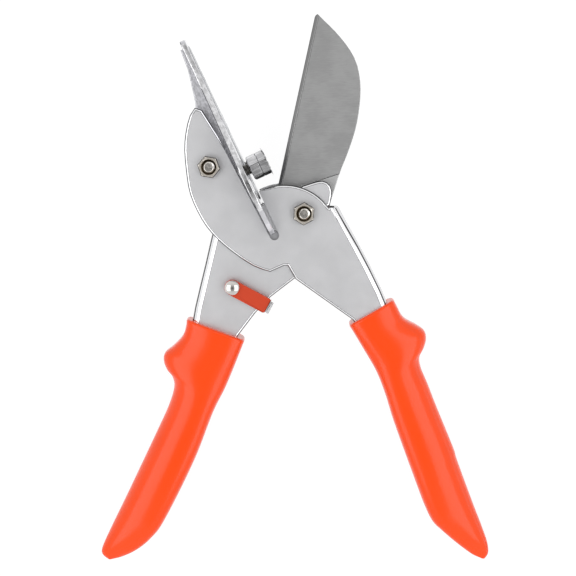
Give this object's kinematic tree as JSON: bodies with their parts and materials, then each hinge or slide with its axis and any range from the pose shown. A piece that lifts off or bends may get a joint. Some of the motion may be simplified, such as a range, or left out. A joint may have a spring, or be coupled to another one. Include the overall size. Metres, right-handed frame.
{
  "type": "mitre shears",
  "caption": "Sprung hand shears whose curved blade closes on a wide mitre table with adjustable stops, with moulded grips and a swinging latch.",
  "frame": {"origin": "under the middle of the tool, on the plane through its lowest point", "axes": "+Z along the pivot bolt towards its nut, +Y from the handles towards the jaws, +X to the right"},
  "size_m": [0.1956, 0.2734, 0.058],
  "materials": {
    "sheet_steel": "satin nickel plate",
    "grip_plastic": "smooth orange",
    "blade_steel": "ground across the blade",
    "table_chrome": "bright plate on a casting",
    "strip_metal": "plain",
    "fastener_steel": "warm nickel plate",
    "stop_steel": "bright plate",
    "screw_steel": "plain",
    "rivet_steel": "ground flush",
    "spacer_steel": "turned",
    "bush_brass": "turned",
    "spring_steel": "drawn wire",
    "latch_rivet_chrome": "bright plate",
    "latch_steel": "pressed strip",
    "latch_plastic": "dipped red"
  },
  "bodies": {
    "anvil_side": {"anvil_lever": "sheet_steel", "anvil_grip": "grip_plastic", "mitre_table": "table_chrome", "anvil_strip": "strip_metal", "strip_screw_1": "screw_steel", "strip_screw_2": "screw_steel", "strip_screw_3": "screw_steel", "table_bolt": "fastener_steel", "table_nut": "fastener_steel", "pivot_bolt": "fastener_steel", "pivot_nut": "fastener_steel", "pivot_bush": "bush_brass", "return_spring": "spring_steel"},
    "blade_side": {"blade_lever": "sheet_steel", "blade_grip": "grip_plastic", "blade": "blade_steel", "blade_rivet_upper": "rivet_steel", "blade_rivet_lower": "rivet_steel", "pivot_spacer": "spacer_steel", "rivet_spacer_upper_front": "spacer_steel", "rivet_spacer_upper_back": "spacer_steel", "rivet_spacer_lower_front": "spacer_steel", "rivet_spacer_lower_back": "spacer_steel", "latch_rivet": "latch_rivet_chrome"},
    "latch": {"latch_plate": "latch_steel", "latch_sleeve": "latch_plastic"},
    "stop_front": {"stop_bolt_front": "stop_steel", "stop_nut_front": "stop_steel"},
    "stop_back": {"stop_bolt_back": "stop_steel", "stop_nut_back": "stop_steel"}
  },
  "joints": [
    {"name": "main_pivot", "type": "hinge", "parent": "anvil_side", "child": "blade_side", "pos_m": [0.00423, 0.03914, 0.02901], "axis": [0, 0, 1], "range_deg": [0, 37.8], "stiffness_Nm_per_rad": 0.87, "springref_deg": -22.92, "deforming": ["return_spring"]},
    {"name": "latch_pivot", "type": "hinge", "parent": "blade_side", "child": "latch", "pos_m": [-0.03107, 0.00244, 0.03902], "axis": [0, 0, 1], "range_deg": [0, 94]},
    {"name": "front_stop_screw", "type": "slide", "parent": "anvil_side", "child": "stop_front", "axis": [0.9056, 0.4242, 0], "range_m": [-0.0023, 0.002]},
    {"name": "back_stop_screw", "type": "slide", "parent": "anvil_side", "child": "stop_back", "axis": [0.9056, 0.4242, 0], "range_m": [-0.001, 0.0033]}
  ]
}
